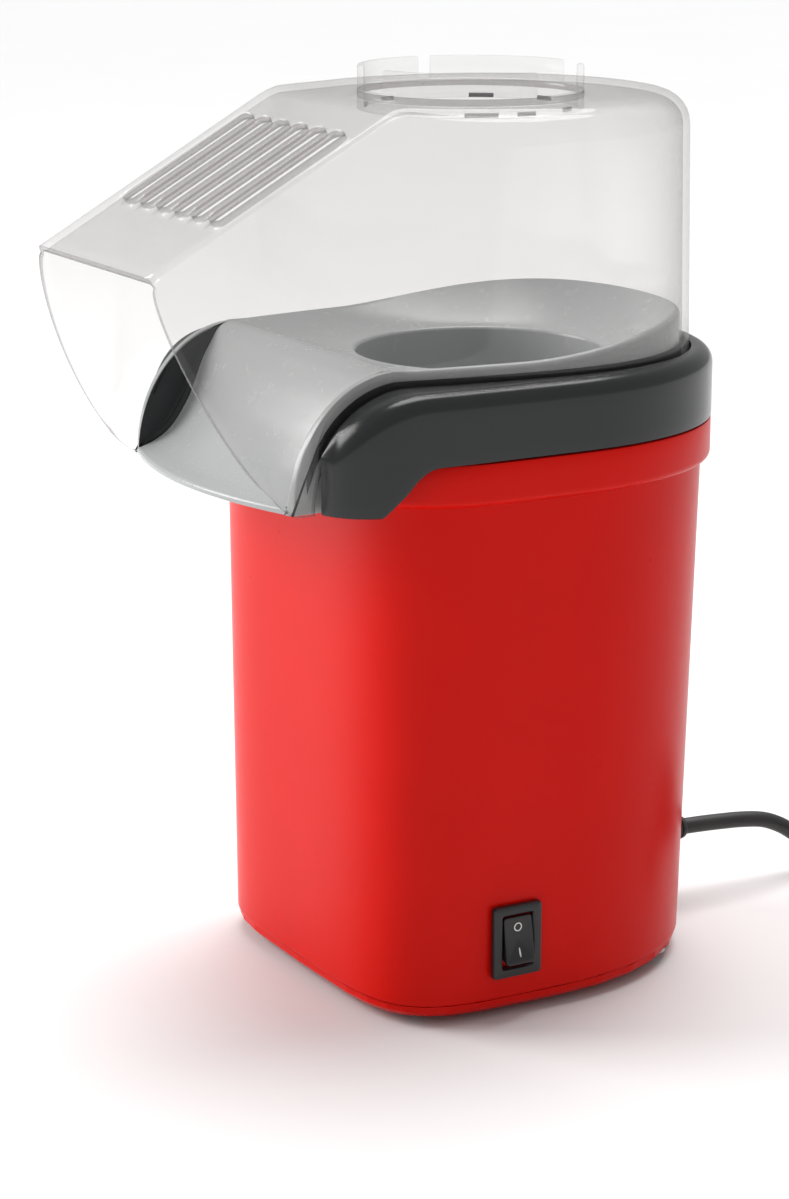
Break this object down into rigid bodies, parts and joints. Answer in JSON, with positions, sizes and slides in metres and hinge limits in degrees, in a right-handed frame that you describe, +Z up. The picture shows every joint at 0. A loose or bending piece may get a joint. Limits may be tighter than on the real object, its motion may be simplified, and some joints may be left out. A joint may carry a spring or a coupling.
{
  "type": "popcorn maker",
  "caption": "Hot-air popcorn maker: tapered tower with side rocker switch, collar, dished deck with front chute, and a clear lift-off hood with a vented spout.",
  "frame": {"origin": "centre of the footprint at the underside of the feet, measured without the cord", "axes": "+Z up, chute and spout towards -Y, rocker switch on the +X side, cord leaving the +Y side"},
  "size_m": [0.1349, 0.3208, 0.2582],
  "materials": {
    "red_plastic": "satin gloss moulded red",
    "charcoal_plastic": "gloss moulded charcoal",
    "grey_plastic": "gloss moulded grey",
    "clear_plastic": "clear polycarbonate",
    "black_plastic": "moulded black",
    "switch_plastic": "fine satin black",
    "aluminium": "spun",
    "steel": "plated",
    "mica": "pressed mica sheet",
    "nichrome": "oxidised resistance wire",
    "bronze": "sintered",
    "brass": "bright",
    "circuit_board": "lacquered board",
    "cord_rubber": "moulded black",
    "foot_rubber": "matt"
  },
  "bodies": {
    "base": {"body_shell": "red_plastic", "base_plate": "red_plastic", "collar": "charcoal_plastic", "chute_deck": "grey_plastic", "top_frame": "black_plastic", "popping_chamber": "aluminium", "heater_duct": "steel", "heater_former": "mica", "heater_coil": "nichrome", "fan_housing": "black_plastic", "motor_can": "steel", "motor_bush_lower": "bronze", "motor_bush_upper": "bronze", "rectifier_board": "circuit_board", "thermostat": "steel", "thermal_fuse": "steel", "switch_housing": "switch_plastic", "strain_relief": "cord_rubber", "cord": "cord_rubber", "cord_coil": "cord_rubber", "cord_tie": "black_plastic", "cord_tail": "cord_rubber", "plug_body": "cord_rubber", "plug_pin_1": "brass", "switch_terminal_1": "brass", "motor_screw_1": "steel", "plug_pin_2": "brass", "switch_terminal_2": "brass", "motor_screw_2": "steel", "chamber_screw_1": "steel", "chamber_screw_2": "steel", "chamber_screw_3": "steel", "diode_1": "black_plastic", "foot_1": "foot_rubber", "base_screw_1": "steel", "diode_2": "black_plastic", "foot_2": "foot_rubber", "base_screw_2": "steel", "diode_3": "black_plastic", "foot_3": "foot_rubber", "base_screw_3": "steel", "diode_4": "black_plastic", "foot_4": "foot_rubber", "base_screw_4": "steel"},
    "hood": {"hood": "clear_plastic"},
    "fan_rotor": {"fan_shaft": "steel", "fan_impeller": "black_plastic"},
    "rocker": {"rocker": "switch_plastic"}
  },
  "joints": [
    {"name": "hood_lift", "type": "slide", "parent": "base", "child": "hood", "axis": [0, 0, 1], "range_m": [0, 0.1]},
    {"name": "fan_spin", "type": "hinge", "parent": "base", "child": "fan_rotor", "pos_m": [0, 0.02315, 0.058], "axis": [0, 0, 1], "continuous": true},
    {"name": "rocker_tilt", "type": "hinge", "parent": "base", "child": "rocker", "pos_m": [0.059, 0.00015, 0.0232], "axis": [0, 1, 0], "range_deg": [0, 20]}
  ]
}
